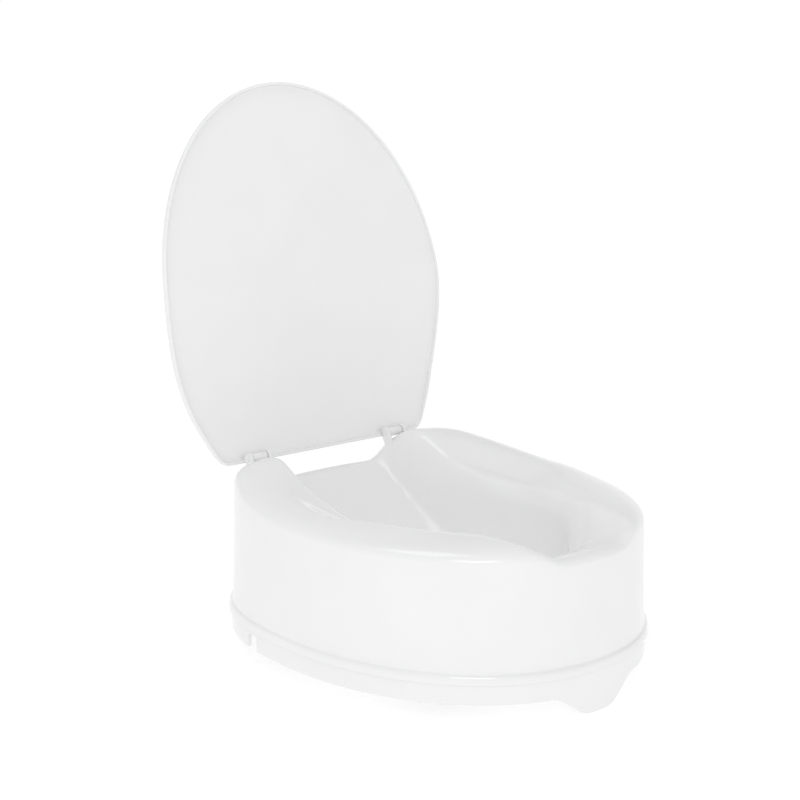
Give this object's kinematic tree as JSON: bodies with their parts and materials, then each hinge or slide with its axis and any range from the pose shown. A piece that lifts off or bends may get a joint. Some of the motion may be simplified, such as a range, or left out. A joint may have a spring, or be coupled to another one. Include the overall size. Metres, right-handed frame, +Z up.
{
  "type": "raised toilet seat",
  "caption": "Raised toilet seat: a deep contoured ring with front and rear recesses, a hinged lid held open, and screw clamps below that grip the rim of the toilet bowl.",
  "frame": {"origin": "on the plane that the front lug and the clamp legs stand on, below the middle of the bounding box with the lid open", "axes": "+Z up; -Y towards the front of the seat; +X to the left of a person sitting on it"},
  "size_m": [0.3798, 0.4899, 0.5606],
  "materials": {
    "white_gloss_plastic": "gloss",
    "white_matte_plastic": "satin",
    "grey_rubber": "matt",
    "stainless_steel": "bright",
    "brass": "plain"
  },
  "bodies": {
    "seat": {"seat_shell": "white_gloss_plastic", "base_ring": "white_gloss_plastic", "base_screws": "stainless_steel", "hinge_pin_left": "white_gloss_plastic", "hinge_pin_right": "white_gloss_plastic", "clamp_stud_left": "stainless_steel", "clamp_stud_right": "stainless_steel", "rim_pad_front_left": "grey_rubber", "rim_pad_front_right": "grey_rubber", "rim_pad_rear_left": "grey_rubber", "rim_pad_rear_right": "grey_rubber"},
    "lid": {"lid": "white_gloss_plastic"},
    "clamp_left": {"clamp_arm_left": "white_matte_plastic", "clamp_grip_left": "grey_rubber"},
    "washer_left": {"clamp_washer_left": "stainless_steel"},
    "nut_left": {"hand_nut_left": "white_matte_plastic", "nut_insert_left": "brass"},
    "clamp_right": {"clamp_arm_right": "white_matte_plastic", "clamp_grip_right": "grey_rubber"},
    "washer_right": {"clamp_washer_right": "stainless_steel"},
    "nut_right": {"hand_nut_right": "white_matte_plastic", "nut_insert_right": "brass"}
  },
  "joints": [
    {"name": "lid_hinge", "type": "hinge", "parent": "seat", "child": "lid", "pos_m": [0, 0.157, 0.1767], "axis": [1, 0, 0], "range_deg": [0, 103.3]},
    {"name": "clamp_slide_left", "type": "slide", "parent": "seat", "child": "clamp_left", "axis": [1, 0, 0], "range_m": [0, 0.012]},
    {"name": "washer_lift_left", "type": "slide", "parent": "seat", "child": "washer_left", "axis": [0, 0, 1], "range_m": [-0.002, 0]},
    {"name": "nut_turn_left", "type": "hinge", "parent": "washer_left", "child": "nut_left", "pos_m": [0.1, 0.044, 0.023], "axis": [0, 0, 1], "range_deg": [-720, 0]},
    {"name": "clamp_slide_right", "type": "slide", "parent": "seat", "child": "clamp_right", "axis": [-1, 0, 0], "range_m": [0, 0.012]},
    {"name": "washer_lift_right", "type": "slide", "parent": "seat", "child": "washer_right", "axis": [0, 0, 1], "range_m": [-0.002, 0]},
    {"name": "nut_turn_right", "type": "hinge", "parent": "washer_right", "child": "nut_right", "pos_m": [-0.1, 0.044, 0.023], "axis": [0, 0, 1], "range_deg": [-720, 0]}
  ],
  "couplings": [
    {"joint": "washer_lift_left", "follows": "nut_turn_left", "m_per_rad": 0.00015915},
    {"joint": "washer_lift_right", "follows": "nut_turn_right", "m_per_rad": 0.00015915}
  ]
}
